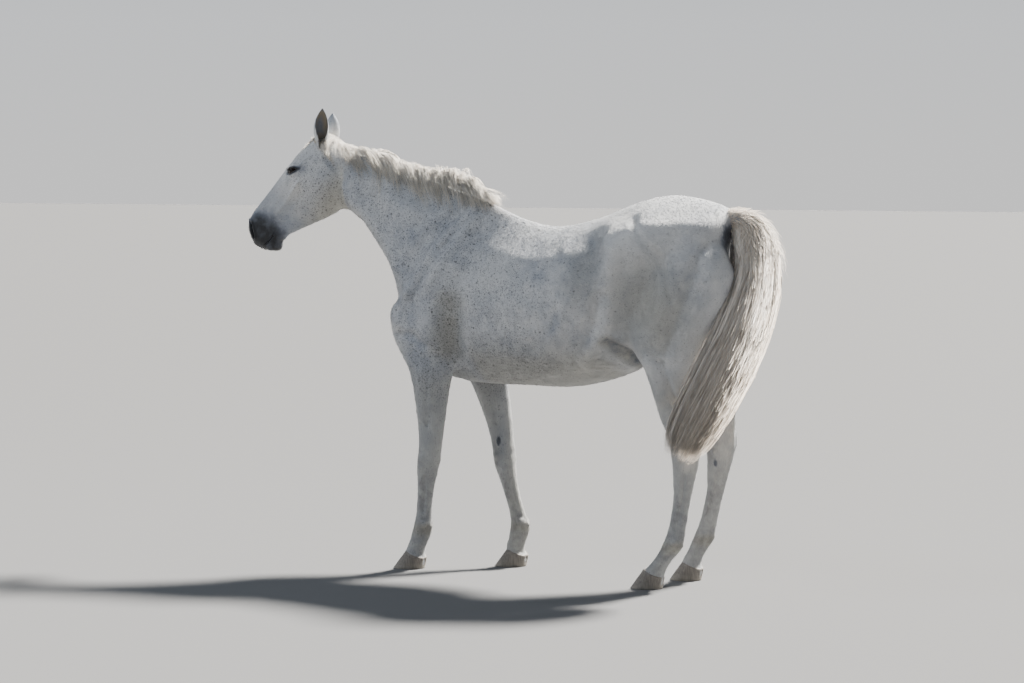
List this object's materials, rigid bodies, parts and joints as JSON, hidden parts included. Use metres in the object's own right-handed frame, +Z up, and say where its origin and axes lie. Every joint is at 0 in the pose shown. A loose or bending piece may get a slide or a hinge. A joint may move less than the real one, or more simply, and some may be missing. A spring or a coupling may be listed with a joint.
{
  "type": "horse",
  "caption": "Life-size standing horse, a still museum-style model with a flea-bitten grey coat, short mane and full tail swung to its left.",
  "frame": {"origin": "on the ground under the middle of the whole horse's box", "axes": "+Z up, the horse faces -Y, its left side is +X"},
  "size_m": [0.6116, 2.571, 1.9703],
  "materials": {
    "coat": "short flat hair, off-white with small dark flecks, dark grey muzzle",
    "long_hair": "cream-white mane and tail hair with a soft sheen",
    "hoof": "grey-brown horn with fine growth rings",
    "eye": "wet, nearly black"
  },
  "bodies": {
    "root": {"ear_left": "coat", "ear_right": "coat", "eye_left": "eye", "eye_right": "eye", "foreleg_left_lower": "coat", "foreleg_left_upper": "coat", "foreleg_right_lower": "coat", "foreleg_right_upper": "coat", "forelock": "long_hair", "head": "coat", "hindleg_left_lower": "coat", "hindleg_left_upper": "coat", "hindleg_right_lower": "coat", "hindleg_right_upper": "coat", "hoof_foreleg_left": "hoof", "hoof_foreleg_right": "hoof", "hoof_hindleg_left": "hoof", "hoof_hindleg_right": "hoof", "mane": "long_hair", "neck": "coat", "tail": "long_hair", "trunk": "coat"}
  },
  "joints": []
}
